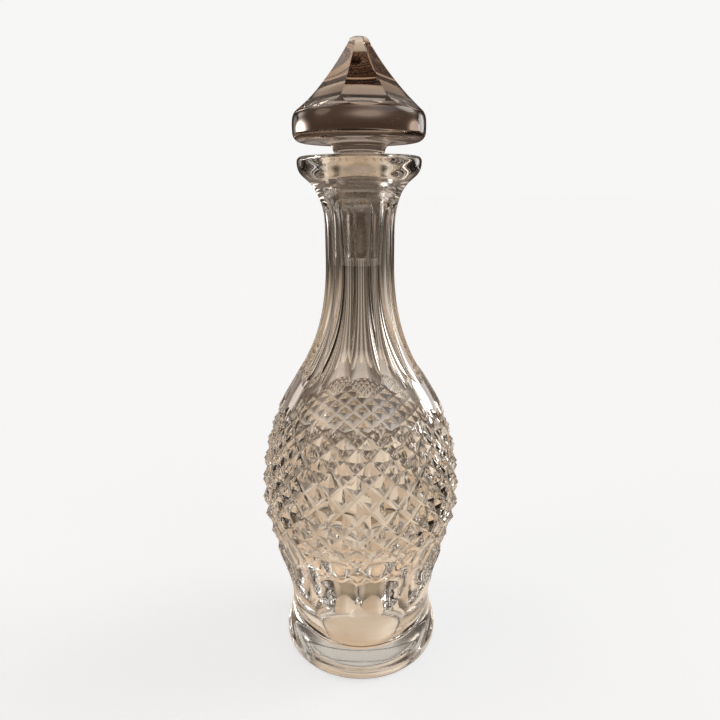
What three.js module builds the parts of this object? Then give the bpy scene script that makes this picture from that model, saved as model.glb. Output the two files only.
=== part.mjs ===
// Cut crystal decanter: a blown and cut body, and a solid cut stopper whose ground peg sits in the neck.
// Millimetres, +Z up. The origin is the centre of the foot's underside.

import * as THREE from 'three';

// ---------- Driving dimensions ----------

// Heights of the body's sections, from the table up
const FOOT_EDGE_HEIGHT = 6;
const FOOT_RISE = 22;
const BELLY_RISE = 67;
const SHOULDER_RISE = 133;
const NECK_LENGTH = 12;
const FLARE_RISE = 35;
const LIP_RISE = 2.4;

// Outside radii where the sections meet
const FOOT_R = 45.4;
const WAIST_R = 41.3;
const BELLY_R = 56.2;
const NECK_R = 18;
const RIM_R = 30.7;

// Roundings of the foot and the lip
const FOOT_EDGE_ROUND = 3;
const LIP_ROUND = 2.3;

// How far each section's outline holds its direction at its two ends, as shares of the section's height
const FOOT_SWEEP = [0.14, 0.55];
const BELLY_SWEEP = [0.29, 0.29];
const SHOULDER_SWEEP = [0.526, 0.523];
const FLARE_SWEEP = [0.914, 0.343];
const CAVITY_SWEEP = [0.49, 0.535];

// Cavity: wall thicknesses, and the narrow well that reaches down through the waist
const BELLY_WALL = 7.4;
const WELL_WALL = 12.8;
const WELL_TOP_ABOVE_WAIST = 10;
const WELL_FLARE = [25, 24];
const WELL_FLARE_WIDTH = 2.5;
const WELL_TAPER = 1.5;
const FLOOR_ROUND = [7, 6];
const FLOOR_THICKNESS = 7;
const BORE_RUN = 3.4;

// Mouth, ground bore and peg
const DISH_DEPTH = 4;
const PEG_MOUTH_R = 12.6;
const PEG_END_R = 8.2;
const PEG_LENGTH = 45;
const PEG_END_ROUND = 2;
const PEG_CLEARANCE = 0.3;
const PEG_END_ROOM = 3;

// Stopper head
const HEAD_GAP = 6.6;
const HEAD_R = 32.3;
const STEM_TOP_SHARE = 0.25;
const STEM_FILLET = 6;
const HEAD_CORNER = 4.2;
const HEAD_EDGE = 12;
const HEAD_CONE_HEIGHT = 34;
const CONE_HOLLOW_LOW = [9.8, 8.5];
const CONE_HOLLOW_HIGH = [6.5, 21];
const TIP_R = 5;
const TIP_ROUND = 2;
const TIP_SHOULDER = 0.6;
const FLAT_RUN_OUT = 7;

// Cut patterns: how many repeats go round, how deep they are and where they run out
const SIDES = 48;
const DIAMONDS_AROUND = 24;
const DIAMOND_ROWS = 10;
const DIAMOND_DEPTH = 2.8;
const DIAMOND_SLOPE = 0.924;
const DIAMOND_START_DROP = 4.5;
const PLAIN_BAND = 16;
const NECK_FLUTES = 12;
const NECK_FLUTE_SHIFT = 0;
const NECK_FLUTE_DEPTH = 1.5;
const NECK_FLUTE_RISE = 16;
const NECK_FLUTE_RUN_OUT = [9, 6];
const BASE_FLUTES = 12;
const BASE_FLUTE_SHIFT = 0.25;
const BASE_FLUTE_DEPTH = 2.4;
const BASE_FLUTE_START = 14;
const BASE_FLUTE_OVERLAP = 1;
const BASE_FLUTE_RUN_OUT = [14, 13];
const STOPPER_FACETS = 8;
const STOPPER_SIDES = 32;

// ---------- Derived sizes ----------

const WAIST_Z = FOOT_EDGE_HEIGHT + FOOT_RISE;
const BELLY_Z = WAIST_Z + BELLY_RISE;
const NECK_LOW_Z = BELLY_Z + SHOULDER_RISE;
const NECK_HIGH_Z = NECK_LOW_Z + NECK_LENGTH;
const RIM_EDGE_Z = NECK_HIGH_Z + FLARE_RISE;
const RIM_TOP_Z = RIM_EDGE_Z + LIP_RISE;
const LIP_TOP_R = RIM_R - LIP_ROUND;
const BORE_TOP_Z = RIM_TOP_Z - DISH_DEPTH;
const PEG_END_Z = BORE_TOP_Z - PEG_LENGTH;
const BORE_LOW_Z = PEG_END_Z - PEG_END_ROOM;
const CAVITY_TOP_Z = BORE_LOW_Z - BORE_RUN;
const CAVITY_R = BELLY_R - BELLY_WALL;
const WELL_TOP_R = WAIST_R - WELL_WALL;
const WELL_TOP_Z = WAIST_Z + WELL_TOP_ABOVE_WAIST;
const WELL_LOW_R = WELL_TOP_R - WELL_TAPER;
const FLOOR_FLAT_R = WELL_LOW_R - FLOOR_ROUND[0];
const HEAD_UNDER_Z = RIM_TOP_Z + HEAD_GAP;
const HEAD_SHOULDER_Z = HEAD_UNDER_Z + HEAD_EDGE;
const TOP_Z = HEAD_SHOULDER_Z + HEAD_CONE_HEIGHT;
const STEM_Z = RIM_TOP_Z + HEAD_GAP * STEM_TOP_SHARE;

// The peg and the bore share one taper, set apart by the clearance.
const PEG_TAPER = (PEG_MOUTH_R - PEG_END_R) / PEG_LENGTH;
const pegRadius = (z) => PEG_END_R + (z - PEG_END_Z) * PEG_TAPER;
const boreRadius = (z) => pegRadius(z) + PEG_CLEARANCE;

// ---------- Outline helpers ----------

const point = (r, z) => new THREE.Vector2(r, z);

// A cubic from one station to the next that leaves and arrives along the axis.
function sweep(from, to, [leave, arrive]) {
  const rise = to.y - from.y;
  const first = point(from.x, from.y + rise * leave);
  const last = point(to.x, to.y - rise * arrive);
  return new THREE.CubicBezierCurve(from, first, last, to);
}

// A quarter round between two points that turns about the corner they share.
function quarterRound(from, corner, to, steps) {
  return new THREE.QuadraticBezierCurve(from, corner, to).getPoints(steps);
}

// Radius of a curve at a height, by halving.
const HALVINGS = 40;

function radiusAt(curve, z) {
  let low = 0;
  let high = 1;
  for (let i = 0; i < HALVINGS; i += 1) {
    const middle = (low + high) / 2;
    if (curve.getPoint(middle).y < z) low = middle;
    else high = middle;
  }
  return curve.getPoint(low).x;
}

// ---------- Body outline ----------

const footCurve = sweep(point(FOOT_R, FOOT_EDGE_HEIGHT), point(WAIST_R, WAIST_Z), FOOT_SWEEP);
const bellyCurve = sweep(point(WAIST_R, WAIST_Z), point(BELLY_R, BELLY_Z), BELLY_SWEEP);
const shoulderCurve = sweep(point(BELLY_R, BELLY_Z), point(NECK_R, NECK_LOW_Z), SHOULDER_SWEEP);
const flareCurve = sweep(point(NECK_R, NECK_HIGH_Z), point(RIM_R, RIM_EDGE_Z), FLARE_SWEEP);

// Outside radius of the uncut blank, from the foot's edge to the rim's edge.
function blankRadius(z) {
  if (z < WAIST_Z) return radiusAt(footCurve, z);
  if (z < BELLY_Z) return radiusAt(bellyCurve, z);
  if (z < NECK_LOW_Z) return radiusAt(shoulderCurve, z);
  if (z < NECK_HIGH_Z) return NECK_R;
  return radiusAt(flareCurve, z);
}

// Heights of the diamond rows: half a diamond apart along the wall, stepped up from just below the belly.
function diamondRows() {
  const halfDiamond = (Math.PI / DIAMONDS_AROUND) * DIAMOND_SLOPE;
  const heights = [BELLY_Z - DIAMOND_START_DROP];
  while (heights.length < DIAMOND_ROWS) {
    const z = heights[heights.length - 1];
    const lean = blankRadius(z + 1) - blankRadius(z);
    heights.push(z + (blankRadius(z) * halfDiamond) / Math.hypot(1, lean));
  }
  return heights;
}

const DIAMOND_Z = diamondRows();
const DIAMOND_TOP_Z = DIAMOND_Z[DIAMOND_ROWS - 1];

// Both rings of flutes: where each starts and ends, and how it is spaced
const neckFlutes = {
  count: NECK_FLUTES,
  shift: NECK_FLUTE_SHIFT,
  depth: NECK_FLUTE_DEPTH,
  low: DIAMOND_TOP_Z + PLAIN_BAND,
  high: NECK_HIGH_Z + NECK_FLUTE_RISE,
  runOut: NECK_FLUTE_RUN_OUT,
};
const baseFlutes = {
  count: BASE_FLUTES,
  shift: BASE_FLUTE_SHIFT,
  depth: BASE_FLUTE_DEPTH,
  low: WAIST_Z + BASE_FLUTE_START,
  high: DIAMOND_Z[0] + BASE_FLUTE_OVERLAP,
  runOut: BASE_FLUTE_RUN_OUT,
};

// Share of a pattern's pitch between an angle and the nearest middle of a repeat.
function offCentre(angle, count, shift) {
  const turns = (angle / (2 * Math.PI)) * count - shift;
  return Math.abs(turns - Math.round(turns));
}

// How deep a ring of flutes goes at an angle and a height; each flute thins out over its two ends.
function fluteDepth({ count, shift, depth, low, high, runOut }, angle, z) {
  const fade = Math.min((z - low) / runOut[0], (high - z) / runOut[1], 1);
  const hollow = 1 - (2 * offCentre(angle, count, shift)) ** 2;
  return Math.max(0, depth * (hollow - 1 + fade));
}

// How deep the flutes go at an angle and a height of the blank.
function cutDepth(angle, z) {
  return Math.max(fluteDepth(neckFlutes, angle, z), fluteDepth(baseFlutes, angle, z));
}

// ---------- Turned solids ----------

// Rings of points about the Z axis, closed at both ends on the axis. Each ring is { r, z, cut, phase },
// where cut(angle, column) is how far the point is set in, and phase says which way its squares are split.
function turnedSolid(rings, sides) {
  const positions = [];
  const faces = [];
  const first = rings[0];
  const last = rings[rings.length - 1];
  positions.push(0, 0, first.z);
  const body = rings.slice(1, -1);
  body.forEach((ring) => {
    for (let column = 0; column < sides; column += 1) {
      const angle = (column / sides) * 2 * Math.PI;
      const r = ring.r - (ring.cut ? ring.cut(angle, column) : 0);
      positions.push(r * Math.sin(angle), -r * Math.cos(angle), ring.z);
    }
  });
  positions.push(0, 0, last.z);
  const top = 1 + body.length * sides;
  const at = (row, column) => 1 + row * sides + (column % sides);
  for (let column = 0; column < sides; column += 1) {
    faces.push(0, at(0, column + 1), at(0, column));
    faces.push(top, at(body.length - 1, column), at(body.length - 1, column + 1));
  }
  for (let row = 0; row + 1 < body.length; row += 1) {
    for (let column = 0; column < sides; column += 1) {
      const a = at(row, column);
      const b = at(row, column + 1);
      const c = at(row + 1, column + 1);
      const d = at(row + 1, column);
      const flip = body[row].phase !== undefined && (column + body[row].phase) % 2 === 0;
      if (flip) faces.push(a, b, d, b, c, d);
      else faces.push(a, b, c, a, c, d);
    }
  }
  const geometry = new THREE.BufferGeometry();
  geometry.setAttribute('position', new THREE.Float32BufferAttribute(positions, 3));
  geometry.setIndex(faces);
  geometry.computeVertexNormals();
  return geometry;
}

const ring = (r, z) => ({ r, z });
const plainRings = (points) => points.map((p) => ring(p.x, p.y));
const cutRing = (z) => ({ r: blankRadius(z), z, cut: (angle) => cutDepth(angle, z) });

// Cut rings spread evenly between two heights; the lower height itself is left to the section below.
function cutRings(low, high, steps) {
  return Array.from({ length: steps }, (_, i) => cutRing(low + ((high - low) * (i + 1)) / steps));
}

// A ring of the diamond band: points and groove crossings take turns around it.
function diamondRing(z, row) {
  const cut = (angle, column) => {
    const crossing = (column + row) % 2 === 1;
    return Math.max(crossing ? DIAMOND_DEPTH : 0, cutDepth(angle, z));
  };
  return { r: blankRadius(z), z, cut, phase: row % 2 };
}

// ---------- Body ----------

// Rings from the middle of the underside up to the rim's edge.
function outsideRings() {
  const edge = quarterRound(
    point(FOOT_R - FOOT_EDGE_ROUND, 0),
    point(FOOT_R, 0),
    point(FOOT_R, FOOT_EDGE_ROUND),
    3,
  );
  const neckLow = neckFlutes.low + neckFlutes.runOut[0];
  const neckHigh = neckFlutes.high - neckFlutes.runOut[1];
  return [
    ring(0, 0),
    ...plainRings(edge),
    cutRing(FOOT_EDGE_HEIGHT),
    ...cutRings(FOOT_EDGE_HEIGHT, WAIST_Z, 4),
    ...cutRings(WAIST_Z, DIAMOND_Z[0], 9).slice(0, -1),
    ...DIAMOND_Z.map(diamondRing),
    ...cutRings(DIAMOND_TOP_Z, neckFlutes.low, 3),
    ...cutRings(neckFlutes.low, neckLow, 3),
    ...cutRings(neckLow, neckHigh, 7),
    ...cutRings(neckHigh, RIM_EDGE_Z, 7),
  ];
}

// Rings from the lip down the ground bore and the cavity to the middle of the inside floor.
function insideRings() {
  const mouth = point(boreRadius(BORE_TOP_Z), BORE_TOP_Z);
  const lipTop = point(LIP_TOP_R, RIM_TOP_Z);
  const lip = quarterRound(point(RIM_R, RIM_EDGE_Z), point(RIM_R, RIM_TOP_Z), lipTop, 3);
  const dish = quarterRound(lipTop, point((LIP_TOP_R + mouth.x) / 2, BORE_TOP_Z), mouth, 4);
  const boreLow = boreRadius(BORE_LOW_Z);
  const cavity = sweep(point(boreLow, CAVITY_TOP_Z), point(CAVITY_R, BELLY_Z), CAVITY_SWEEP);
  const well = new THREE.CubicBezierCurve(
    point(CAVITY_R, BELLY_Z),
    point(CAVITY_R, BELLY_Z - WELL_FLARE[0]),
    point(WELL_TOP_R + WELL_FLARE_WIDTH, WELL_TOP_Z + WELL_FLARE[1]),
    point(WELL_TOP_R, WELL_TOP_Z),
  );
  const corner = quarterRound(
    point(WELL_LOW_R, FLOOR_THICKNESS + FLOOR_ROUND[1]),
    point(WELL_LOW_R, FLOOR_THICKNESS),
    point(FLOOR_FLAT_R, FLOOR_THICKNESS),
    3,
  );
  return [
    ...plainRings(lip.slice(1)),
    ...plainRings(dish.slice(1)),
    ring(boreLow, BORE_LOW_Z),
    ...plainRings(cavity.getPoints(10)),
    ...plainRings(well.getPoints(8).slice(1)),
    ...plainRings(corner),
    ring(0, FLOOR_THICKNESS),
  ];
}

// ---------- Stopper ----------

// How far a flat is set in from its ridges at an angle and a height; it runs out towards the shoulder.
function flatDepth(r, z, angle) {
  const share = offCentre(angle, STOPPER_FACETS, 0);
  const turn = (share * 2 * Math.PI) / STOPPER_FACETS;
  const fade = Math.min(1, (z - HEAD_SHOULDER_Z) / FLAT_RUN_OUT);
  return r * fade * (1 - Math.cos(Math.PI / STOPPER_FACETS) / Math.cos(turn));
}

// The stopper's head is cut to flats that meet in ridges; near its edge the round blank shows.
function stopperRings() {
  const pegStart = PEG_END_Z + PEG_END_ROUND;
  const fillet = quarterRound(
    point(PEG_MOUTH_R, STEM_Z),
    point(PEG_MOUTH_R, HEAD_UNDER_Z),
    point(PEG_MOUTH_R + STEM_FILLET, HEAD_UNDER_Z),
    4,
  );
  const edge = quarterRound(
    point(HEAD_R - HEAD_CORNER, HEAD_UNDER_Z),
    point(HEAD_R, HEAD_UNDER_Z),
    point(HEAD_R, HEAD_UNDER_Z + HEAD_CORNER),
    4,
  );
  const cone = new THREE.CubicBezierCurve(
    point(HEAD_R, HEAD_SHOULDER_Z),
    point(HEAD_R - CONE_HOLLOW_LOW[0], HEAD_SHOULDER_Z + CONE_HOLLOW_LOW[1]),
    point(TIP_R + CONE_HOLLOW_HIGH[0], HEAD_SHOULDER_Z + CONE_HOLLOW_HIGH[1]),
    point(TIP_R, TOP_Z - TIP_ROUND),
  );
  const facets = cone.getPoints(9).slice(1).map((p) => (
    { r: p.x, z: p.y, cut: (angle) => flatDepth(p.x, p.y, angle) }
  ));
  return [
    ring(0, PEG_END_Z),
    ring(PEG_END_R - PEG_END_ROUND, PEG_END_Z),
    ring(pegRadius(pegStart), pegStart),
    ring(pegRadius(BORE_TOP_Z), BORE_TOP_Z),
    ...plainRings(fillet),
    ...plainRings(edge),
    ring(HEAD_R, HEAD_SHOULDER_Z),
    ...facets,
    ring(TIP_R * TIP_SHOULDER, TOP_Z - TIP_ROUND * (1 - TIP_SHOULDER) / 2),
    ring(0, TOP_Z),
  ];
}

// ---------- Assembly ----------

const CLEAR_CRYSTAL = 0xd9cfc2;
const SMOKY_CRYSTAL = 0xb9a694;

function crystal(color) {
  return new THREE.MeshStandardMaterial({
    color, roughness: 0.06, metalness: 0, transparent: true, opacity: 0.45,
  });
}

const decanterBody = new THREE.Mesh(
  turnedSolid([...outsideRings(), ...insideRings()], SIDES),
  crystal(CLEAR_CRYSTAL),
);
decanterBody.name = 'decanter_body';

const stopper = new THREE.Mesh(turnedSolid(stopperRings(), STOPPER_SIDES), crystal(SMOKY_CRYSTAL));
stopper.name = 'stopper';

const decanter = new THREE.Group();
decanter.add(decanterBody, stopper);

export default decanter;
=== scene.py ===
"""A cut crystal decanter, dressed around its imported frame.

The body is a turned blank that is cut the way a glass cutter works: a band of diamonds around the belly,
hollow flutes up the neck and arched flutes under the belly. The stopper is turned and cut the same way.
Sizes are in millimetres until a mesh is built.
"""

import logging
import math
from collections.abc import Callable
from dataclasses import dataclass, field, replace
from enum import Enum

import bpy
import numpy as np
from mathutils import Matrix, Vector


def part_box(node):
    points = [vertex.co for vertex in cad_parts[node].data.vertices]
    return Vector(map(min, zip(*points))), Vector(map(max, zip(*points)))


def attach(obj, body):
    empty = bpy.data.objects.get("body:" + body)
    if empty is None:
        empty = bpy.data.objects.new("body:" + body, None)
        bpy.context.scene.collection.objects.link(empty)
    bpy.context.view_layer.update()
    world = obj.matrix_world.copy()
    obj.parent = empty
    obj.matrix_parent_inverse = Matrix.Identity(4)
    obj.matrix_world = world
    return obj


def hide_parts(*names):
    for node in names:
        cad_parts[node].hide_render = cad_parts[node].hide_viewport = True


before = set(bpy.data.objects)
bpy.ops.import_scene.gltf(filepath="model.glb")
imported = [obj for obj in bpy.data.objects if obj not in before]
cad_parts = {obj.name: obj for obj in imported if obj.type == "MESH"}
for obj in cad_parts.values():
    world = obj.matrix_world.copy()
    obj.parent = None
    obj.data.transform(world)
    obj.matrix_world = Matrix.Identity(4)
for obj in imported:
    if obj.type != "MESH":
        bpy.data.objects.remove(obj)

LOG = logging.getLogger("decanter")
MM = 0.001
FULL_TURN = 2 * math.pi
SAME_POINT = 1e-4
SHARP_ANGLE = math.radians(24)

Point = tuple[float, float]
Colour = tuple[float, float, float]
Blank = Callable[[np.ndarray], np.ndarray]


# ---------------------------------------------------------------- outlines


def cubic(a: Point, b: Point, c: Point, d: Point, count: int) -> np.ndarray:
    """Points along a cubic curve.

    Args:
        a: Where it starts.
        b: Its first handle.
        c: Its second handle.
        d: Where it ends.
        count: How many points, both ends included.

    Returns:
        An array of (radius, height) rows.
    """
    t = np.linspace(0.0, 1.0, count)[:, None]
    s = 1.0 - t
    p = [np.array(q, float)[None, :] for q in (a, b, c, d)]
    return s**3 * p[0] + 3 * s * s * t * p[1] + 3 * s * t * t * p[2] + t**3 * p[3]


@dataclass(frozen=True)
class Sweep:
    """A cubic outline between two stations (radius, height) that leaves and arrives along the axis."""

    start: Point
    end: Point
    leave: float
    arrive: float

    def points(self, count: int) -> np.ndarray:
        """Points along the outline.

        Args:
            count: How many points, both ends included.

        Returns:
            An array of (radius, height) rows.
        """
        way = math.copysign(1.0, self.end[1] - self.start[1])
        first = (self.start[0], self.start[1] + way * self.leave)
        last = (self.end[0], self.end[1] - way * self.arrive)
        return cubic(self.start, first, last, self.end, count)


def quarter(start: Point, corner: Point, end: Point, count: int) -> np.ndarray:
    """Points around an elliptical quarter that rounds off a corner.

    Args:
        start: Where it starts.
        corner: The corner that it rounds off.
        end: Where it ends.
        count: How many points, both ends included.

    Returns:
        An array of (radius, height) rows.
    """
    a, k, b = (np.array(p, float) for p in (start, corner, end))
    t = np.linspace(0.0, math.pi / 2, count)[:, None]
    centre = a + b - k
    return centre + (a - centre) * np.cos(t) + (b - centre) * np.sin(t)


def join(*parts: np.ndarray) -> np.ndarray:
    """Joins outlines end to end.

    Args:
        parts: The outlines in order.

    Returns:
        One outline, without the points that repeat.
    """
    line = np.concatenate([np.atleast_2d(p) for p in parts])
    keep = np.r_[True, np.linalg.norm(np.diff(line, axis=0), axis=1) > SAME_POINT]
    return line[keep]


# ---------------------------------------------------------------- meshes


@dataclass
class Shell:
    """A mesh in the making, in millimetres: points, faces and the slot number of each face."""

    points: list[tuple[float, ...]] = field(default_factory=list)
    faces: list[tuple[int, ...]] = field(default_factory=list)
    slots: list[int] = field(default_factory=list)

    def add(self, points: np.ndarray, faces: list[tuple[int, ...]], slots: list[int] | None = None) -> None:
        """Adds a piece.

        Args:
            points: Its points, in millimetres.
            faces: Its faces, as point numbers that start at 0.
            slots: The slot number of each face, or nothing where all are in the first slot.
        """
        base = len(self.points)
        self.points.extend(map(tuple, points))
        self.faces.extend([tuple(base + i for i in f) for f in faces])
        self.slots.extend(slots or [0] * len(faces))

    def build(self, name: str, finishes: list[bpy.types.Material]) -> bpy.types.Object:
        """Makes the object, in metres.

        Args:
            name: The object's name.
            finishes: The materials that the slot numbers stand for.

        Returns:
            The new object, linked to the scene.
        """
        mesh = bpy.data.meshes.new(name)
        mesh.from_pydata([tuple(c * MM for c in p) for p in self.points], [], self.faces)
        for material in finishes:
            mesh.materials.append(material)
        mesh.polygons.foreach_set("material_index", self.slots)
        mesh.update()
        obj = bpy.data.objects.new(name, mesh)
        bpy.context.scene.collection.objects.link(obj)
        return obj


def turned(outline: np.ndarray, columns: int, slot_at: Callable[[float, float], int]) -> Shell:
    """A closed solid turned from an outline that starts and ends on the axis.

    Args:
        outline: (radius, height) rows, from the axis below, up the outside and back to the axis.
        columns: How many steps make the full turn.
        slot_at: Gives the slot number from a face's radius and height.

    Returns:
        The shell.
    """
    angle = np.arange(columns) / columns * FULL_TURN
    around = np.stack([np.sin(angle), -np.cos(angle)], 1)
    rings = outline[1:-1]
    points = [(0.0, 0.0, outline[0, 1])]
    for r, z in rings:
        points.extend((r * x, r * y, z) for x, y in around)
    points.append((0.0, 0.0, outline[-1, 1]))
    pairs = [(c, (c + 1) % columns) for c in range(columns)]
    faces = [(0, 1 + d, 1 + c) for c, d in pairs]
    slots = [slot_at(*outline[0])] * columns
    for row in range(len(rings) - 1):
        low = 1 + row * columns
        high = low + columns
        faces += [(low + c, low + d, high + d, high + c) for c, d in pairs]
        slots += [slot_at(*((rings[row] + rings[row + 1]) / 2))] * columns
    top = len(points) - 1
    last = top - columns
    faces += [(top, last + c, last + d) for c, d in pairs]
    slots += [slot_at(*outline[-1])] * columns
    shell = Shell()
    shell.add(np.array(points), faces, slots)
    return shell


def grid_faces(rows: int, columns: int, flip: bool = False) -> list[tuple[int, ...]]:
    """Square faces of a grid of points that runs row by row.

    Args:
        rows: Points one way.
        columns: Points the other way.
        flip: Whether the faces turn the other way.

    Returns:
        The faces.
    """
    faces = []
    for i in range(rows - 1):
        for j in range(columns - 1):
            a = i * columns + j
            quad = (a, a + 1, a + columns + 1, a + columns)
            faces.append(quad[::-1] if flip else quad)
    return faces


def slab(front: np.ndarray, back: np.ndarray) -> tuple[np.ndarray, list[tuple[int, ...]]]:
    """A closed solid between two grids of points of the same size.

    Args:
        front: rows x columns x 3 points, whose faces point out.
        back: The same for the far side.

    Returns:
        The points and the faces.
    """
    rows, columns = front.shape[:2]
    points = np.concatenate([front.reshape(-1, 3), back.reshape(-1, 3)])
    off = rows * columns
    faces = grid_faces(rows, columns)
    faces += [tuple(off + i for i in f) for f in grid_faces(rows, columns, flip=True)]
    edge = list(range(columns))
    edge += [i * columns + columns - 1 for i in range(1, rows)]
    edge += [(rows - 1) * columns + j for j in range(columns - 2, -1, -1)]
    edge += [i * columns for i in range(rows - 2, 0, -1)]
    for a, b in zip(edge, edge[1:] + edge[:1]):
        faces.append((b, a, off + a, off + b))
    return points, faces


def turn_z(points: np.ndarray, angle: float) -> np.ndarray:
    """Turns points about the axis.

    Args:
        points: Points in any array shape that ends in 3.
        angle: Radians, from the front towards +X.

    Returns:
        The turned points.
    """
    c, s = math.cos(angle), math.sin(angle)
    x, y, z = points[..., 0], points[..., 1], points[..., 2]
    return np.stack([x * c - y * s, x * s + y * c, z], -1)


# ---------------------------------------------------------------- cutting


@dataclass(frozen=True)
class Flutes:
    """A ring of upright hollow cuts that meet in ridges and run out at both ends."""

    count: int
    turn: float
    low: float
    high: float
    low_run: float
    high_run: float
    hollow: float
    ridge_drop: float = 0.06
    overrun: float = 3.0
    overlap: float = 1.12
    reach: float = 14.0
    steps: int = 90
    across: int = 17

    def floor_line(self, blank: Blank) -> tuple[np.ndarray, np.ndarray, np.ndarray]:
        """The line along the middle of a cut, and the ridges beside it.

        Args:
            blank: Outside radius of the blank at given heights.

        Returns:
            Heights, the ridges' radius and how far off the axis the cut's middle lies, lifted at both ends.
        """
        z = np.linspace(self.low - self.overrun, self.high + self.overrun, self.steps)
        ridge = blank(z) - self.ridge_drop
        full = ridge * math.cos(math.pi / self.count) - self.hollow
        below = np.clip((self.low + self.low_run - z) / self.low_run, 0.0, None)
        above = np.clip((z - self.high + self.high_run) / self.high_run, 0.0, None)
        return z, ridge, full + (blank(z) - full) * (below**2 + above**2)

    def cutters(self, blank: Blank, odd: int) -> Shell:
        """The solids that every second cut takes away.

        Args:
            blank: Outside radius of the blank at given heights.
            odd: 0 for the even cuts, 1 for the odd ones.

        Returns:
            A shell of separate solids.
        """
        z, ridge, middle = self.floor_line(blank)
        half = math.pi / self.count
        share = np.linspace(-self.overlap, self.overlap, self.across)
        x = ridge[:, None] * math.sin(half) * share[None, :]
        y = middle[:, None] + self.hollow * share[None, :] ** 2
        height = np.repeat(z[:, None], len(share), 1)
        front = np.stack([x, -y, height], -1)
        back = np.stack([x, np.full_like(x, -np.max(blank(z)) - self.reach), height], -1)
        shell = Shell()
        for k in range(odd, self.count, 2):
            angle = self.turn + k * 2 * half
            shell.add(*slab(turn_z(back, angle), turn_z(front, angle)))
        return shell


@dataclass
class GrooveFloor:
    """The narrow floor of the grooves: each pyramid's corner stands a little off its crossing."""

    points: list[tuple[float, ...]]
    share: float
    corners: dict[tuple[int, int], int] = field(default_factory=dict)

    def corner(self, tip: int, crossing: int) -> int:
        """A pyramid's corner beside a groove crossing, made when it is first asked for.

        Args:
            tip: Number of the pyramid's tip.
            crossing: Number of the crossing.

        Returns:
            The number of the corner's point.
        """
        key = (tip, crossing)
        if key not in self.corners:
            low, high = np.array(self.points[crossing]), np.array(self.points[tip])
            spot = low + (high - low) * self.share
            spot[:2] *= np.hypot(*low[:2]) / np.hypot(*spot[:2])
            self.corners[key] = len(self.points)
            self.points.append(tuple(spot))
        return self.corners[key]


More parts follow.
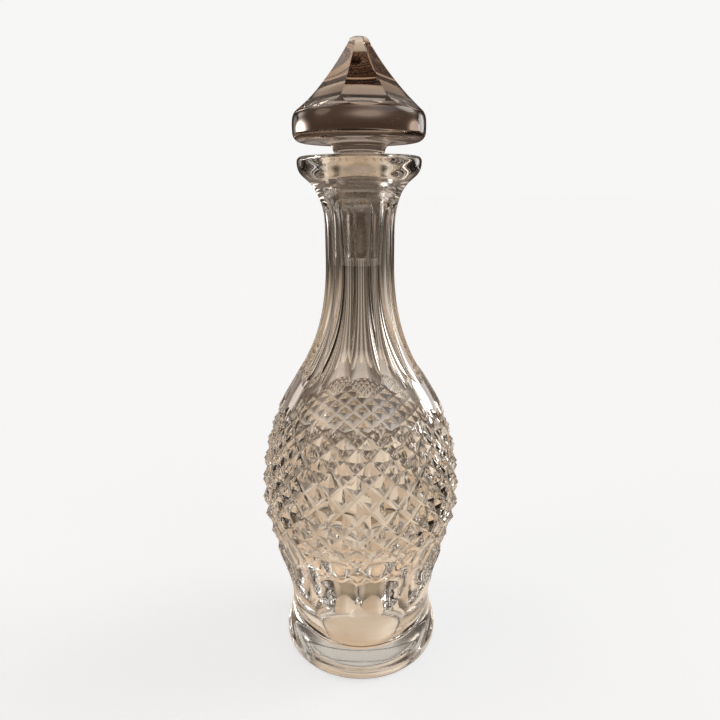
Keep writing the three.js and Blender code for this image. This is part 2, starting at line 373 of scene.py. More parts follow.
@dataclass(frozen=True)
class Diamonds:
    """A band of pointed diamonds left between two sets of slanting grooves.

    Depths are below the blank. They lessen in the row before each end, and at the end itself the wheel is
    clear of the glass, so they are less than nothing there.
    """

    around: int = 24
    first: float = 90.5
    rows_up: int = 9
    rows_down: int = 3
    slope: float = 0.924
    depth: float = 2.5
    tip_depth: float = 0.05
    outer_depth: float = 1.75
    outer_tip_depth: float = -0.25
    end_depth: float = -0.8
    end_tip_depth: float = -2.2
    groove_floor: float = 0.1
    reach: float = 9.0

    def step(self, z: float, blank: Blank) -> float:
        """Height of half a diamond laid along the wall.

        Args:
            z: Where it starts.
            blank: Outside radius of the blank at given heights.

        Returns:
            How much higher or lower the next row lies.
        """
        radius, above = blank(np.array([z, z + 1.0]))
        return radius * math.pi / self.around * self.slope / math.hypot(1.0, above - radius)

    def heights(self, blank: Blank) -> np.ndarray:
        """Heights of the rows, from the lowest, with one more row past each end of the band.

        Args:
            blank: Outside radius of the blank at given heights.

        Returns:
            The heights.
        """
        up = [self.first]
        for _ in range(self.rows_up + 1):
            up.append(up[-1] + self.step(up[-1], blank))
        down = [self.first]
        for _ in range(self.rows_down + 1):
            down.append(down[-1] - self.step(down[-1], blank))
        return np.array(down[:0:-1] + up)

    def is_tip(self, row: int | np.ndarray, column: int | np.ndarray) -> bool | np.ndarray:
        """Whether a place in the lattice is a diamond's tip, and not a crossing of grooves.

        Args:
            row: Number of the row, or an array of them.
            column: Number of the column, or an array of them.

        Returns:
            True for a tip; one answer for each place where arrays are given.
        """
        return (column + row - self.rows_down - 1) % 2 == 0

    def lattice(self, heights: np.ndarray, radii: np.ndarray) -> np.ndarray:
        """Tips and crossings, row by row, and then the drum's lower and upper rings.

        Args:
            heights: Heights of the rows.
            radii: Outside radius of the blank at those heights.

        Returns:
            An array of points.
        """
        rows = len(heights)
        depth = np.full(rows, self.depth)
        tip_depth = np.full(rows, self.tip_depth)
        depth[[1, -2]] = self.outer_depth
        tip_depth[[1, -2]] = self.outer_tip_depth
        depth[[0, -1]] = self.end_depth
        tip_depth[[0, -1]] = self.end_tip_depth
        row, column = np.indices((rows, self.around * 2))
        set_in = np.where(self.is_tip(row, column), tip_depth[:, None], depth[:, None])
        drum = np.full((2, self.around * 2), np.max(radii) + self.reach)
        radius = np.concatenate([radii[:, None] - set_in, drum])
        height = np.concatenate([heights, heights[[0, -1]]])[:, None]
        angle = np.arange(self.around * 2) / (self.around * 2) * FULL_TURN
        spots = (radius * np.sin(angle), -radius * np.cos(angle), np.broadcast_to(height, radius.shape))
        return np.stack(spots, -1).reshape(-1, 3)

    def cutter(self, blank: Blank) -> Shell:
        """The ring that the grooves take away: pyramids inside, a plain drum outside.

        Args:
            blank: Outside radius of the blank at given heights.

        Returns:
            One closed shell.
        """
        heights = self.heights(blank)
        rows, columns = len(heights), self.around * 2
        floor = GrooveFloor([tuple(p) for p in self.lattice(heights, blank(heights))], self.groove_floor)
        faces = []
        for i in range(rows - 1):
            for c in range(columns):
                d = (c + 1) % columns
                a, b = i * columns + c, i * columns + d
                e, f = (i + 1) * columns + d, (i + 1) * columns + c
                halves = ((a, b, f), (e, f, b)) if self.is_tip(i, c) else ((b, e, a), (f, a, e))
                for tip, one, other in halves:
                    near, far = floor.corner(tip, one), floor.corner(tip, other)
                    faces.append((tip, far, near))
                    faces.append((near, far, other, one))
        for c in range(columns):
            d = (c + 1) % columns
            low, low_next = rows * columns + c, rows * columns + d
            high, high_next = low + columns, low_next + columns
            faces.append((*self.end_edge(floor, 0, c, d), low_next, low))
            faces.append((*self.end_edge(floor, rows - 1, c, d)[::-1], high, high_next))
            faces.append((low, low_next, high_next, high))
        shell = Shell()
        shell.add(np.array(floor.points), faces)
        return shell

    def end_edge(self, floor: GrooveFloor, row: int, column: int, following: int) -> tuple[int, int, int]:
        """The three points from one column to the next along an end row.

        Args:
            floor: The lattice's points with their corners.
            row: The end row.
            column: The column that it starts from.
            following: The column that it runs to.

        Returns:
            The numbers of the points.
        """
        a, b = (row * self.around * 2 + c for c in (column, following))
        return a, floor.corner(a, b) if self.is_tip(row, column) else floor.corner(b, a), b


def cut(blank: bpy.types.Object, cutter: bpy.types.Object) -> None:
    """Cuts one object out of another for good, and removes the cutter.

    Args:
        blank: The object that is cut.
        cutter: The object that is taken away.
    """
    modifier = blank.modifiers.new("cut", "BOOLEAN")
    modifier.operation = "DIFFERENCE"
    modifier.solver = "MANIFOLD"
    modifier.object = cutter
    modifier.material_mode = "TRANSFER"
    evaluated = blank.evaluated_get(bpy.context.evaluated_depsgraph_get())
    mesh = bpy.data.meshes.new_from_object(evaluated)
    blank.modifiers.clear()
    old = blank.data
    blank.data = mesh
    mesh.name = old.name
    bpy.data.meshes.remove(old)
    bpy.data.objects.remove(cutter)


def soften(obj: bpy.types.Object) -> None:
    """Shades an object smooth, with crisp edges where it was cut or where two finishes meet.

    Args:
        obj: The object.
    """
    mesh = obj.data
    mesh.polygons.foreach_set("use_smooth", [True] * len(mesh.polygons))
    mesh.set_sharp_from_angle(angle=SHARP_ANGLE)
    edge_slots: dict[tuple[int, int], set[int]] = {}
    for polygon in mesh.polygons:
        for key in polygon.edge_keys:
            edge_slots.setdefault(key, set()).add(polygon.material_index)
    sharp = mesh.attributes.get("sharp_edge")
    for edge in mesh.edges:
        if len(edge_slots.get(edge.key, ())) > 1:
            sharp.data[edge.index].value = True


# ---------------------------------------------------------------- finishes


@dataclass(frozen=True)
class Wiring:
    """A node tree, with short ways to add to it."""

    tree: bpy.types.NodeTree

    def add(self, kind: str, **values: float | tuple | bpy.types.NodeSocket) -> bpy.types.Node:
        """Adds a node.

        Args:
            kind: The node's type.
            values: Its inputs by name, with underscores for spaces: a value, or a socket to link from.

        Returns:
            The node.
        """
        node = self.tree.nodes.new(kind)
        for name, value in values.items():
            self.feed(node.inputs[name.replace("_", " ")], value)
        return node

    def feed(self, socket: bpy.types.NodeSocket, value: float | tuple | bpy.types.NodeSocket) -> None:
        """Sets an input to a value, or links it from another socket.

        Args:
            socket: The input.
            value: The value or the other socket.
        """
        if isinstance(value, bpy.types.NodeSocket):
            self.tree.links.new(value, socket)
        else:
            socket.default_value = value

    def sum(self, kind: str, operation: str, *terms: float | Vector | bpy.types.NodeSocket) -> bpy.types.Node:
        """Adds a node that works something out.

        Args:
            kind: The node's type, for numbers or for vectors.
            operation: What it does.
            terms: Its inputs in order: values, or sockets to link from.

        Returns:
            The node.
        """
        node = self.tree.nodes.new(kind)
        node.operation = operation
        for socket, term in zip(node.inputs, terms):
            self.feed(socket, term)
        return node


class Surface(Enum):
    """How a face of the crystal was finished."""

    BLOWN = "fire-polished outside of the blank"
    CUT = "wheel-cut and acid-polished"
    INSIDE = "blown inside, never touched by a tool"
    GROUND = "ground to a matt taper"
    FOOT = "flat-ground and polished underside"


@dataclass(frozen=True)
class Crystal:
    """Lead crystal with one of its surface finishes. Scales are per metre, the ripple is in millimetres."""

    surface: Surface
    roughness: tuple[float, float]
    mottle_scale: float
    ripple: float
    ripple_scale: float
    grinding: float = 0.0
    grinding_scale: tuple[float, float, float] = (6.0, 6.0, 2600.0)
    mottle_range: tuple[float, float] = (0.35, 0.75)
    mottle_detail: float = 4.0
    ripple_detail: float = 2.0
    grinding_detail: float = 3.0
    colour: Colour = (0.985, 0.975, 0.955)
    index: float = 1.55
    tint: Colour = (0.90, 0.84, 0.75)
    density: float = 1.0
    batch: str = "clear"

    def smoked(self) -> "Crystal":
        """The same finish on the faintly smoky crystal of the stopper."""
        return replace(self, tint=(0.60, 0.46, 0.37), density=19.0, batch="smoky")

    def material(self) -> bpy.types.Material:
        """Builds the material: tinted glass with a mottled polish and a faint ripple.

        Returns:
            A node material.
        """
        material = bpy.data.materials.new(f"{self.batch}_{self.surface.name.lower()}")
        material.use_nodes = True
        wiring = Wiring(material.node_tree)
        nodes = wiring.tree.nodes
        shader = nodes["Principled BSDF"]
        shader.inputs["Base Color"].default_value = (*self.colour, 1.0)
        shader.inputs["Transmission Weight"].default_value = 1.0
        shader.inputs["IOR"].default_value = self.index
        place = wiring.add("ShaderNodeTexCoord").outputs["Object"]
        wiring.feed(shader.inputs["Roughness"], self.mottle(wiring, place))
        relief = wiring.add("ShaderNodeBump", Distance=self.ripple * MM, Height=self.relief(wiring, place))
        relief.inputs["Strength"].default_value = 1.0
        wiring.feed(shader.inputs["Normal"], relief.outputs["Normal"])
        absorb = wiring.add("ShaderNodeVolumeAbsorption", Color=(*self.tint, 1.0), Density=self.density)
        wiring.feed(nodes["Material Output"].inputs["Volume"], absorb.outputs["Volume"])
        return material

    def mottle(self, wiring: Wiring, place: bpy.types.NodeSocket) -> bpy.types.NodeSocket:
        """Wires the roughness, which wanders between the two ends of its range.

        Args:
            wiring: The material's node tree.
            place: Where on the object.

        Returns:
            The socket that gives the roughness.
        """
        noise = wiring.add(
            "ShaderNodeTexNoise", Vector=place, Scale=self.mottle_scale, Detail=self.mottle_detail
        )
        spread = wiring.add("ShaderNodeMapRange", Value=noise.outputs["Fac"])
        spread.inputs["From Min"].default_value, spread.inputs["From Max"].default_value = self.mottle_range
        spread.inputs["To Min"].default_value, spread.inputs["To Max"].default_value = self.roughness
        return spread.outputs["Result"]

    def relief(self, wiring: Wiring, place: bpy.types.NodeSocket) -> bpy.types.NodeSocket:
        """Wires the ripple, with the grinding's rings on top where there are any.

        Args:
            wiring: The material's node tree.
            place: Where on the object.

        Returns:
            The socket that gives the height.
        """
        wave = wiring.add(
            "ShaderNodeTexNoise", Vector=place, Scale=self.ripple_scale, Detail=self.ripple_detail
        )
        height = wave.outputs["Fac"]
        if not self.grinding:
            return height
        grain = wiring.add("ShaderNodeMapping", Vector=place, Scale=self.grinding_scale)
        rings = wiring.add(
            "ShaderNodeTexNoise", Vector=grain.outputs["Vector"], Scale=1.0, Detail=self.grinding_detail
        )
        both = wiring.sum("ShaderNodeMath", "MULTIPLY_ADD", rings.outputs["Fac"], self.grinding, height)
        return both.outputs["Value"]


BLOWN = Crystal(Surface.BLOWN, (0.0, 0.012), mottle_scale=60.0, ripple=0.02, ripple_scale=90.0)
CUT = Crystal(Surface.CUT, (0.0, 0.015), mottle_scale=220.0, ripple=0.006, ripple_scale=420.0)
INSIDE = Crystal(Surface.INSIDE, (0.0, 0.01), mottle_scale=40.0, ripple=0.05, ripple_scale=55.0)
GROUND = Crystal(
    Surface.GROUND, (0.16, 0.3), mottle_scale=900.0, ripple=0.004, ripple_scale=1500.0, grinding=2.0
)
FOOT = Crystal(Surface.FOOT, (0.01, 0.12), mottle_scale=260.0, ripple=0.004, ripple_scale=600.0)


# ---------------------------------------------------------------- turned and cut pieces


@dataclass(frozen=True)
class Piece:
    """A piece of crystal that is turned to an outline and then cut."""

    name: str
    body: str
    node: str
    slot: str
    finishes: tuple[Crystal, ...]
    facet: Crystal
    columns: int

    def outline(self) -> np.ndarray:
        """The turned outline, from the axis below, up the outside and back to the axis."""
        raise NotImplementedError

    def surface_at(self, radius: float, z: float) -> Surface:
        """How the turned piece is finished at a place on its outline.

        Args:
            radius: Distance from the axis.
            z: The height.

        Returns:
            The finish.
        """
        raise NotImplementedError

    def cutters(self) -> list[Shell]:
        """What is cut away, in order."""
        raise NotImplementedError

    def build(self) -> bpy.types.Object:
        """Turns the piece, makes every cut and ties it to the frame.

        Returns:
            The finished object.
        """
        order = [finish.surface for finish in self.finishes]
        blank = turned(self.outline(), self.columns, lambda r, z: order.index(self.surface_at(r, z)))
        made = blank.build(self.name, [finish.material() for finish in self.finishes])
        facet = self.facet.material()
        for shell in self.cutters():
            cut(made, shell.build("cutter", [facet]))
        soften(made)
        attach(made, self.body)
        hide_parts(self.node)
        return made


@dataclass(frozen=True)
class Body(Piece):
    """The blown and cut body, in millimetres above the foot's underside."""

    name: str = "crystal_body"
    body: str = "decanter"
    node: str = "decanter_body"
    slot: str = "body_crystal"
    finishes: tuple[Crystal, ...] = (BLOWN, INSIDE, GROUND, FOOT)
    facet: Crystal = CUT
    columns: int = 240

    foot_r: float = 45.4
    foot_edge_z: float = 6.0
    foot_round: float = 3.0
    foot_land: float = 1.0
    underside_limit: float = 0.375
    foot_sweep: tuple[float, float] = (3.0, 12.0)
    waist_r: float = 41.3
    waist_z: float = 28.0
    belly_sweep: tuple[float, float] = (19.5, 19.5)
    belly_r: float = 56.2
    belly_z: float = 95.0
    shoulder_sweep: tuple[float, float] = (70.0, 69.5)
    neck_r: float = 18.0
    neck_low_z: float = 228.0
    neck_high_z: float = 240.0
    flare_sweep: tuple[float, float] = (32.0, 12.0)
    rim_r: float = 30.7
    rim_top_z: float = 277.4
    lip_rise: float = 2.4
    lip_round: float = 2.3

    dish_depth: float = 4.0
    dish_sweep: tuple[float, float] = (4.5, 6.4)
    brink: float = 0.6
    brink_drop: float = 0.7
    bore_mouth_r: float = 12.9
    bore_taper: float = 0.07
    bore_low_r: float = 8.2
    bore_low_z: float = 225.4
    cavity_top_z: float = 222.0
    cavity_sweep: tuple[float, float] = (62.0, 68.0)
    belly_wall: float = 7.4
    well_top_r: float = 28.5
    well_top_z: float = 38.0
    well_flare: tuple[float, float] = (25.0, 24.0)
    well_flare_width: float = 2.5
    well_low_r: float = 27.0
    floor_r: float = 20.0
    floor_middle_r: float = 12.0
    floor_z: float = 7.0
    floor_round: float = 6.0

    foot_steps: int = 24
    belly_steps: int = 60
    shoulder_steps: int = 110
    flare_steps: int = 44
    round_steps: int = 10
    dish_steps: int = 18
    brink_steps: int = 5
    bore_steps: int = 24
    cavity_steps: int = 90
    well_steps: int = 60
    corner_steps: int = 14

    @property
    def rim_edge_z(self) -> float:
        """Height of the rim's widest line."""
        return self.rim_top_z - self.lip_rise

    @property
    def dish_z(self) -> float:
        """Height of the dish that leads into the bore."""
        return self.rim_top_z - self.dish_depth

    def outside(self) -> np.ndarray:
        """Outline of the uncut blank from the foot's edge to the rim's edge.

        Returns:
            An array of (radius, height) rows.
        """
        waist = (self.waist_r, self.waist_z)
        belly = (self.belly_r, self.belly_z)
        rim = (self.rim_r, self.rim_edge_z)
        foot = Sweep((self.foot_r, self.foot_edge_z), waist, *self.foot_sweep)
        lower = Sweep(waist, belly, *self.belly_sweep)
        upper = Sweep(belly, (self.neck_r, self.neck_low_z), *self.shoulder_sweep)
        flare = Sweep((self.neck_r, self.neck_high_z), rim, *self.flare_sweep)
        return join(
            foot.points(self.foot_steps),
            lower.points(self.belly_steps),
            upper.points(self.shoulder_steps),
            flare.points(self.flare_steps),
        )

    def blank(self, z: np.ndarray) -> np.ndarray:
        """Outside radius of the uncut blank at given heights.

        Args:
            z: The heights.

        Returns:
            The radius at each height.
        """
        line = self.outside()
        return np.interp(z, line[:, 1], line[:, 0])

    def underside(self) -> np.ndarray:
        """Outline of the foot's flat underside and its rounded edge.

        Returns:
            An array of (radius, height) rows.
        """
        flat = self.foot_r - self.foot_round
        side = (self.foot_r, self.foot_round)
        edge = quarter((flat, 0.0), (self.foot_r, 0.0), side, self.round_steps)
        return join(np.array([(0.0, 0.0), (flat / 2, 0.0), (flat - self.foot_land, 0.0)]), edge)

    def mouth(self) -> np.ndarray:
        """Outline of the lip, the dish and the ground bore, from the rim's edge down.

        Returns:
            An array of (radius, height) rows.
        """
        top = self.rim_r - self.lip_round, self.rim_top_z
        edge = (self.rim_r, self.rim_edge_z)
        lip = quarter(edge, (self.rim_r, self.rim_top_z), top, self.round_steps)
        ledge = (self.bore_mouth_r + self.brink, self.dish_z)
        leave, arrive = self.dish_sweep
        dish = cubic(
            top, (top[0] - leave, top[1]), (ledge[0] + arrive, ledge[1]), ledge, self.dish_steps
        )
        start = (self.bore_mouth_r - self.bore_taper, self.dish_z - self.brink_drop)
        brink = quarter(ledge, (self.bore_mouth_r, self.dish_z), start, self.brink_steps)
        bore = np.linspace(start, (self.bore_low_r, self.bore_low_z), self.bore_steps)
        return join(lip, dish, brink, bore)

    def inside(self) -> np.ndarray:
        """Outline of the cavity, the well and the inside floor, from the bore down to the axis.

        Returns:
            An array of (radius, height) rows.
        """
        top = (self.bore_low_r, self.cavity_top_z)
        widest = (self.belly_r - self.belly_wall, self.belly_z)
        run = np.array([(self.bore_low_r, self.bore_low_z), top])
        cavity = Sweep(top, widest, *self.cavity_sweep)
        well = cubic(
            widest,
            (widest[0], widest[1] - self.well_flare[0]),
            (self.well_top_r + self.well_flare_width, self.well_top_z + self.well_flare[1]),
            (self.well_top_r, self.well_top_z),
            self.well_steps,
        )
        corner = quarter(
            (self.well_low_r, self.floor_z + self.floor_round),
            (self.well_low_r, self.floor_z),
            (self.floor_r, self.floor_z),
            self.corner_steps,
        )
        floor = np.array([(self.floor_middle_r, self.floor_z), (0.0, self.floor_z)])
        return join(run, cavity.points(self.cavity_steps), well, corner, floor)

    def outline(self) -> np.ndarray:
        """The whole outline: underside, outside, mouth and inside."""
        return join(self.underside(), self.outside(), self.mouth(), self.inside())

    def surface_at(self, radius: float, z: float) -> Surface:
        """How the blank is finished at a place on its outline.

        Args:
            radius: Distance from the axis.
            z: The height.

        Returns:
            The finish.
        """
        if z < self.underside_limit:
            return Surface.FOOT
        if radius > self.blank(z) - self.lip_round:
            return Surface.BLOWN
        if self.bore_low_z < z < self.dish_z - self.brink:
            return Surface.GROUND
        return Surface.INSIDE

    def cutters(self) -> list[Shell]:
        """What is cut away: the diamonds' grooves, the neck's flutes and the flutes under the belly.

        Returns:
            The shells of the cutters, in the order of the cuts.
        """
        neck = Flutes(count=12, turn=0.0, low=164.5, high=258.0, low_run=11.0, high_run=7.0, hollow=1.0)
        base = Flutes(
            count=12, turn=math.radians(7.5), low=42.0, high=91.5, low_run=16.0, high_run=13.0, hollow=1.6
        )
        flutes = [ring.cutters(self.blank, odd) for ring in (neck, base) for odd in (0, 1)]
        return [Diamonds().cutter(self.blank), *flutes]


@dataclass(frozen=True)
class Stopper(Piece):
    """The solid stopper, in millimetres above the foot's underside."""

    name: str = "crystal_stopper"
    body: str = "stopper"
    node: str = "stopper"
    slot: str = "stopper_crystal"
    finishes: tuple[Crystal, ...] = (BLOWN.smoked(), GROUND.smoked())
    facet: Crystal = CUT.smoked()
    columns: int = 192

    peg_end_z: float = 228.4
    peg_end_r: float = 8.2
    peg_end_swell: float = 0.22
    peg_round: float = 2.2
    peg_length: float = 45.0
    peg_top_r: float = 12.6
    stem_in: float = 0.2
    stem_waist: float = 0.1
    stem_length: float = 5.2
    stem_hold: float = 2.0
    fillet_rise: float = 5.4
    fillet_run: float = 7.0
    fillet_hold: tuple[float, float] = (2.4, 5.2)
    edge_r: float = 32.3
    edge_height: float = 12.0
    edge_round: float = 4.2
    edge_swell: float = 0.25
    shoulder_round: float = 1.6
    shoulder_in: float = 0.3
    shoulder_lift: float = 0.32
    flats: int = 8
    flat_run: float = 8.0
    flat_clear: float = 1.01
    flat_overlap: float = 1.3
    flat_margin: float = 0.5
    flat_end: tuple[float, float] = (1.25, 0.8)
    ridge_wear: float = 0.1
    cone_low: tuple[float, float] = (9.8, 8.5)
    cone_high: tuple[float, float] = (6.5, 21.0)
    tip_r: float = 5.0
    tip_round: float = 2.0
    top_z: float = 330.0

    round_steps: int = 8
    peg_steps: int = 26
    stem_steps: int = 8
    fillet_steps: int = 16
    edge_steps: int = 12
    cone_steps: int = 60
    flat_steps: int = 48
    tip_steps: int = 9

    @property
    def peg_top_z(self) -> float:
        """Height where the ground peg ends and the stem begins."""
        return self.peg_end_z + self.peg_length

    @property
    def under_z(self) -> float:
        """Height of the head's flat underside."""
        return self.peg_top_z + self.stem_length + self.fillet_rise

    @property
    def shoulder_z(self) -> float:
        """Height where the upright edge turns into the cone."""
        return self.under_z + self.edge_height

    def cone(self, count: int) -> np.ndarray:
        """The ridges' line from the shoulder to the tip.

        Args:
            count: How many points, both ends included.

        Returns:
            An array of (radius, height) rows.
        """
        return cubic(
            (self.edge_r, self.shoulder_z),
            (self.edge_r - self.cone_low[0], self.shoulder_z + self.cone_low[1]),
            (self.tip_r + self.cone_high[0], self.shoulder_z + self.cone_high[1]),
            (self.tip_r, self.top_z - self.tip_round),
            count,
        )

    def peg_and_stem(self) -> np.ndarray:
        """Outline from the axis under the peg to the head's flat underside.

        Returns:
            An array of (radius, height) rows.
        """
        low = (self.peg_end_r + self.peg_end_swell, self.peg_end_z + self.peg_round)
        start = (self.peg_end_r - self.peg_round, self.peg_end_z)
        end = quarter(start, (self.peg_end_r, self.peg_end_z), low, self.round_steps)
        top = (self.peg_top_r, self.peg_top_z)
        stem_r = self.peg_top_r - self.stem_in
        stem_z = self.peg_top_z + self.stem_length
        stem = cubic(
            top,
            (stem_r, self.peg_top_z + self.stem_hold),
            (stem_r - self.stem_waist, stem_z - self.stem_hold),
            (stem_r, stem_z),
            self.stem_steps,
        )
        under_r = self.peg_top_r + self.fillet_run
        fillet = cubic(
            (stem_r, stem_z),
            (self.peg_top_r, self.under_z - self.fillet_hold[0]),
            (under_r - self.fillet_hold[1], self.under_z),
            (under_r, self.under_z),
            self.fillet_steps,
        )
        middle = np.array([(0.0, self.peg_end_z), (self.peg_end_r / 2, self.peg_end_z)])
        return join(middle, end, np.linspace(low, top, self.peg_steps), stem, fillet)

    def head(self) -> np.ndarray:
        """Outline of the head, from its underside to the axis over the tip.

        Returns:
            An array of (radius, height) rows.
        """
        upright = (self.edge_r, self.under_z + self.edge_round)
        inner = (self.edge_r - self.edge_round, self.under_z)
        low = quarter(inner, (self.edge_r, self.under_z), upright, self.edge_steps)
        cone = self.cone(self.cone_steps) + (self.ridge_wear, 0.0)
        cone = cone[cone[:, 1] > self.shoulder_z + self.shoulder_round]
        high = cubic(
            upright,
            (self.edge_r + self.edge_swell, self.shoulder_z - self.shoulder_round),
            (self.edge_r - self.shoulder_in, self.shoulder_z + self.shoulder_lift),
            tuple(cone[0]),
            self.fillet_steps,
        )
        blunt = (self.tip_r + 2 * self.ridge_wear, self.top_z - self.tip_round)
        tip = quarter(blunt, (self.tip_r, self.top_z), (0.0, self.top_z), self.tip_steps)
        return join(low, high, cone, tip)

    def outline(self) -> np.ndarray:
        """The turned blank's outline."""
        return join(self.peg_and_stem(), self.head())

    def surface_at(self, radius: float, z: float) -> Surface:
        """How the blank is finished: ground on the side of the peg, polished elsewhere.

        Args:
            radius: Distance from the axis.
            z: The height.

        Returns:
            The finish.
        """
        on_peg = self.peg_end_z < z < self.peg_top_z and radius > self.peg_end_r / 2
        return Surface.GROUND if on_peg else Surface.BLOWN

    def flat_cutters(self, odd: int) -> Shell:
        """The solids that take every second flat off the cone, each running out above the shoulder.

        Args:
            odd: 0 for the even flats, 1 for the odd ones.

        Returns:
            A shell of separate solids.
        """
        half = math.pi / self.flats
        end = (self.tip_r - self.flat_end[0], self.top_z + self.flat_end[1])
        radius, z = join(self.cone(self.flat_steps), np.array([end])).T
        run_out = np.clip((self.shoulder_z + self.flat_run - z) / self.flat_run, 0.0, 1.0) ** 2
        depth = radius * (math.cos(half) + (self.flat_clear - math.cos(half)) * run_out)
        share = np.array([-self.flat_overlap, 0.0, self.flat_overlap])
        x = (radius * math.sin(half) + self.flat_margin)[:, None] * share[None, :]
        height = np.repeat(z[:, None], len(share), 1)
        front = np.stack([x, np.repeat(-depth[:, None], len(share), 1), height], -1)
        back = np.stack([x, np.full_like(x, -2 * self.edge_r), height], -1)
        shell = Shell()
        for k in range(odd, self.flats, 2):
            angle = k * 2 * half
            shell.add(*slab(turn_z(back, angle), turn_z(front, angle)))
        return shell

    def cutters(self) -> list[Shell]:
        """What is cut away: the even flats of the cone, then the odd ones."""
        return [self.flat_cutters(odd) for odd in (0, 1)]


# ---------------------------------------------------------------- studio


@dataclass(frozen=True)
class Glow:
    """A soft patch of light in the room, or of shade where its strength is below nothing.

    It lies at an azimuth from +Y towards +X and an elevation above the table, in degrees.
    """

    name: str
    azimuth: float
    elevation: float
    spread: float
    colour: Colour
    strength: float
    plateau: float = 5.0

    def direction(self) -> Vector:
        """Where the patch lies, as a unit vector.

        Returns:
            The vector, from the middle of the scene.
        """
        az, el = math.radians(self.azimuth), math.radians(self.elevation)
        return Vector((math.cos(el) * math.sin(az), math.cos(el) * math.cos(az), math.sin(el)))

    def light(
        self, wiring: Wiring, towards: bpy.types.NodeSocket, base: bpy.types.NodeSocket
    ) -> bpy.types.NodeSocket:
        """Wires the patch on top of other light.

        Args:
            wiring: The room's node tree.
            towards: The direction that is looked in.
            base: The other light.

        Returns:
            The socket that gives both together.
        """
        sharp = 1 / math.radians(self.spread) ** 2
        dot = wiring.sum("ShaderNodeVectorMath", "DOT_PRODUCT", towards, self.direction())
        fall = wiring.sum("ShaderNodeMath", "MULTIPLY_ADD", dot.outputs["Value"], sharp, -sharp)
        power = wiring.sum("ShaderNodeMath", "EXPONENT", fall.outputs["Value"])
        flat = wiring.sum("ShaderNodeMath", "MULTIPLY", power.outputs["Value"], self.plateau)
        flat.use_clamp = True
        colour = Vector(self.colour) * self.strength
        both = wiring.sum("ShaderNodeVectorMath", "MULTIPLY_ADD", flat.outputs["Value"], colour, base)
        return both.outputs["Vector"]


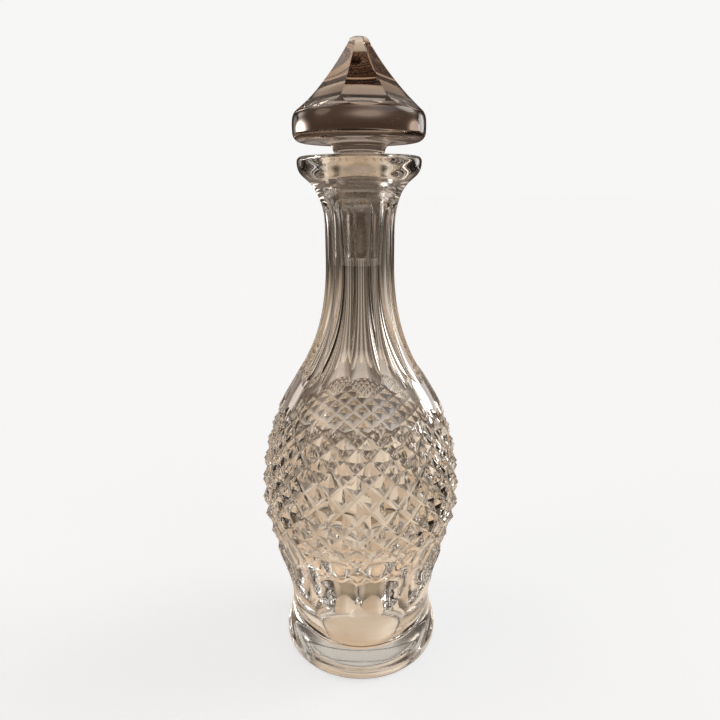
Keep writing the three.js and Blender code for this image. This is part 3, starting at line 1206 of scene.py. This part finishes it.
@dataclass(frozen=True)
class Studio:
    """A pale floor, a softly lit warm room and the viewing camera, in metres."""

    distance: float = 0.2921
    eye: float = 0.2614
    turn: float = math.radians(-5.3)
    pitch: float = math.radians(16.8)
    roll: float = math.radians(-0.24)
    lens: float = 28.0
    near_limit: float = 0.01
    page: Colour = (0.93, 0.925, 0.92)
    floor_reach: float = 20.0
    floor_colour: Colour = (0.49, 0.52, 0.557)
    floor_glow: float = 0.72
    floor_roughness: float = 0.9
    darkest: Colour = (0.012, 0.01, 0.008)
    bounces: int = 32
    heights: tuple[tuple[float, Colour], ...] = (
        (-1.0, (0.86, 0.62, 0.42)),
        (-0.85, (0.64, 0.47, 0.33)),
        (-0.6, (0.64, 0.50, 0.37)),
        (-0.36, (0.36, 0.29, 0.23)),
        (-0.2, (0.12, 0.09, 0.07)),
        (0.05, (0.09, 0.06, 0.045)),
        (0.35, (0.08, 0.06, 0.05)),
        (0.7, (0.14, 0.12, 0.10)),
        (1.0, (0.06, 0.05, 0.045)),
    )
    glows: tuple[Glow, ...] = (
        Glow("window_high", 82.0, 37.0, 7.0, (1.0, 0.95, 0.88), 3.8),
        Glow("window_low", 55.0, 5.0, 5.0, (1.0, 0.95, 0.9), 3.0),
        Glow("window_left", -68.0, 55.0, 7.0, (1.0, 0.9, 0.8), 1.6),
        Glow("lamp_left", -107.0, 28.0, 6.0, (1.0, 0.8, 0.65), 1.6),
        Glow("doorway", -38.0, 4.0, 4.0, (1.0, 0.88, 0.8), 0.8),
        Glow("ceiling", 8.0, 48.0, 10.0, (1.0, 0.95, 0.88), 0.5),
        Glow("pool_right", 39.0, -43.0, 9.0, (0.95, 1.0, 0.95), 0.25),
        Glow("far_wall", 0.0, -20.0, 6.0, (1.0, 0.92, 0.85), 0.35),
        Glow("cool_side", 135.0, 40.0, 9.0, (0.85, 0.95, 1.1), 0.7),
        Glow("shade_left", -72.0, -16.0, 11.0, (1.0, 0.8, 0.65), -0.9),
        Glow("shade_right", 72.0, -20.0, 10.0, (1.0, 0.8, 0.65), -0.75),
        Glow("shade_front", 180.0, -25.0, 20.0, (1.0, 0.8, 0.65), -0.3),
    )

    def camera(self) -> None:
        """Places the camera and makes it the scene's."""
        data = bpy.data.cameras.new("camera")
        data.lens = self.lens
        data.clip_start = self.near_limit
        camera = bpy.data.objects.new("camera", data)
        place = Vector((self.distance * math.sin(self.turn), -self.distance * math.cos(self.turn), self.eye))
        tilt = Matrix.Rotation(math.pi / 2 - self.pitch, 4, "X") @ Matrix.Rotation(self.roll, 4, "Z")
        camera.matrix_world = Matrix.Translation(place) @ Matrix.Rotation(self.turn, 4, "Z") @ tilt
        bpy.context.scene.collection.objects.link(camera)
        bpy.context.scene.camera = camera

    def floor(self) -> None:
        """Lays a pale floor, which the crystal itself looks past."""
        mesh = bpy.data.meshes.new("floor")
        s = self.floor_reach
        mesh.from_pydata([(-s, -s, 0), (s, -s, 0), (s, s, 0), (-s, s, 0)], [], [(0, 1, 2, 3)])
        floor = bpy.data.objects.new("floor", mesh)
        material = bpy.data.materials.new("floor")
        material.use_nodes = True
        shader = material.node_tree.nodes["Principled BSDF"]
        shader.inputs["Base Color"].default_value = (*self.floor_colour, 1)
        shader.inputs["Roughness"].default_value = self.floor_roughness
        shader.inputs["Specular IOR Level"].default_value = 0.0
        shader.inputs["Emission Color"].default_value = (*self.page, 1)
        shader.inputs["Emission Strength"].default_value = self.floor_glow
        mesh.materials.append(material)
        floor.visible_transmission = False
        floor.visible_glossy = False
        bpy.context.scene.collection.objects.link(floor)

    def room(self) -> None:
        """Paints the room's light all around; the camera itself sees the pale page behind."""
        world = bpy.data.worlds.new("room")
        bpy.context.scene.world = world
        world.use_nodes = True
        wiring = Wiring(world.node_tree)
        towards = wiring.add("ShaderNodeTexCoord").outputs["Generated"]
        parts = wiring.add("ShaderNodeSeparateXYZ", Vector=towards)
        up = wiring.add("ShaderNodeMapRange", Value=parts.outputs["Z"], From_Min=-1.0)
        ramp = wiring.add("ShaderNodeValToRGB", Fac=up.outputs["Result"])
        stops = ramp.color_ramp.elements
        while len(stops) < len(self.heights):
            stops.new(0.5)
        for stop, (height, colour) in zip(stops, self.heights):
            stop.position = (height + 1) / 2
            stop.color = (*colour, 1)
        total = ramp.outputs["Color"]
        for glow in self.glows:
            total = glow.light(wiring, towards, total)
        lit = wiring.sum("ShaderNodeVectorMath", "MAXIMUM", total, Vector(self.darkest))
        room = wiring.tree.nodes["Background"]
        wiring.feed(room.inputs["Color"], lit.outputs["Vector"])
        page = wiring.add("ShaderNodeBackground", Color=(*self.page, 1))
        ray = wiring.add("ShaderNodeLightPath")
        seen = wiring.add("ShaderNodeMixShader", Fac=ray.outputs["Is Camera Ray"])
        wiring.feed(seen.inputs[1], room.outputs["Background"])
        wiring.feed(seen.inputs[2], page.outputs["Background"])
        wiring.feed(wiring.tree.nodes["World Output"].inputs["Surface"], seen.outputs["Shader"])

    def build(self) -> None:
        """Builds the whole studio, with enough bounces to see through every wall of the crystal."""
        self.camera()
        self.floor()
        self.room()
        scene = bpy.context.scene
        scene.view_settings.view_transform = "Standard"
        scene.cycles.max_bounces = self.bounces
        scene.cycles.transmission_bounces = self.bounces
        scene.cycles.glossy_bounces = self.bounces // 2


# ---------------------------------------------------------------- assembly


def ends_of(node: str) -> tuple[float, float]:
    """Heights of a frame node's lowest and highest points.

    Args:
        node: The node's name.

    Returns:
        Both heights, in millimetres.
    """
    low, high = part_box(node)
    return low[2] / MM, high[2] / MM


def main() -> None:
    """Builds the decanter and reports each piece."""
    logging.basicConfig(level=logging.INFO, format="%(name)s: %(message)s")
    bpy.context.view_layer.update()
    Studio().build()
    rim_top_z = ends_of("decanter_body")[1]
    peg_end_z, top_z = ends_of("stopper")
    for piece in (Body(rim_top_z=rim_top_z), Stopper(peg_end_z=peg_end_z, top_z=top_z)):
        made = piece.build()
        LOG.info("%s: %d faces", made.name, len(made.data.polygons))


if __name__ == "__main__":
    main()
